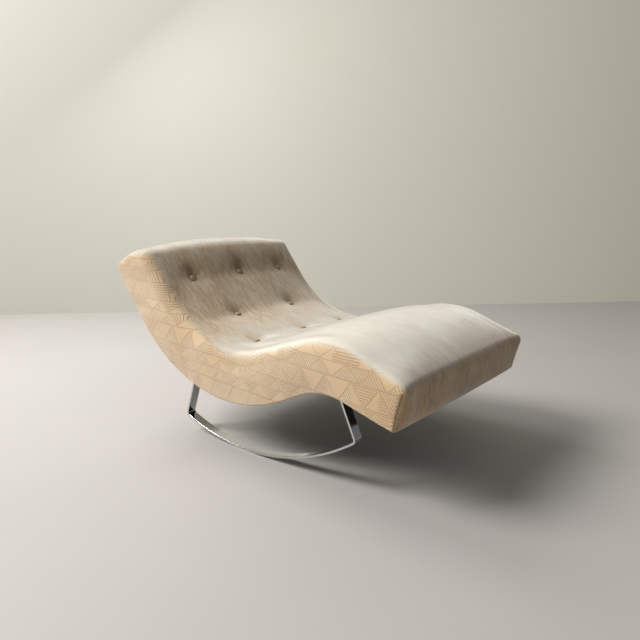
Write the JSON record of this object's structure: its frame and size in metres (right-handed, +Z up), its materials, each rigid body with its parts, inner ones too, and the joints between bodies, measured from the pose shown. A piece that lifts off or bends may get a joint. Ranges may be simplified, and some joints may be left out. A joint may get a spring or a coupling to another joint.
{
  "type": "rocking chaise lounge",
  "caption": "Wave-shaped padded chaise lounge with a tufted back and seat, carried by bent flat-bar rockers.",
  "frame": {"origin": "on the floor, under the middle of the whole length and width", "axes": "+X towards the foot end, +Y to the left of the person lying on it, +Z up"},
  "size_m": [1.5514, 0.88, 0.8069],
  "materials": {
    "rocker_chrome": "polished",
    "fixing_steel": "zinc plated",
    "frame_wood": "sawn and sanded",
    "frame_plywood": "sanded plywood",
    "deck_cloth": "woven",
    "nylon_tie": "satin",
    "foam": "open cell foam",
    "velvet": "cut velvet pile",
    "button_velvet": "cut velvet pile",
    "button_shell": "moulded",
    "dust_cloth": "thin black non-woven"
  },
  "bodies": {
    "root": {"right_rocker": "rocker_chrome", "left_rocker": "rocker_chrome", "rocker_bolts": "fixing_steel", "bolt_washers": "fixing_steel", "tee_nuts": "fixing_steel", "rear_mount_rail": "frame_wood", "front_mount_rail": "frame_wood", "crest_rail": "frame_wood", "foot_rail": "frame_wood", "right_side_rib": "frame_plywood", "left_side_rib": "frame_plywood", "centre_rib": "frame_plywood", "frame_screws": "fixing_steel", "corner_blocks": "frame_wood", "deck_slats": "frame_wood", "deck_cloth": "deck_cloth", "tuft_ties": "nylon_tie", "tuft_washers": "nylon_tie", "crest_foam": "foam", "foot_foam": "foam", "seat_foam": "foam", "right_side_foam": "foam", "left_side_foam": "foam", "outer_back_cover": "velvet", "dust_cover": "dust_cloth", "top_cover": "velvet", "right_side_cover": "velvet", "left_side_cover": "velvet", "tuft_buttons": "button_velvet", "button_backs": "button_shell", "cover_staples": "fixing_steel"}
  },
  "joints": []
}
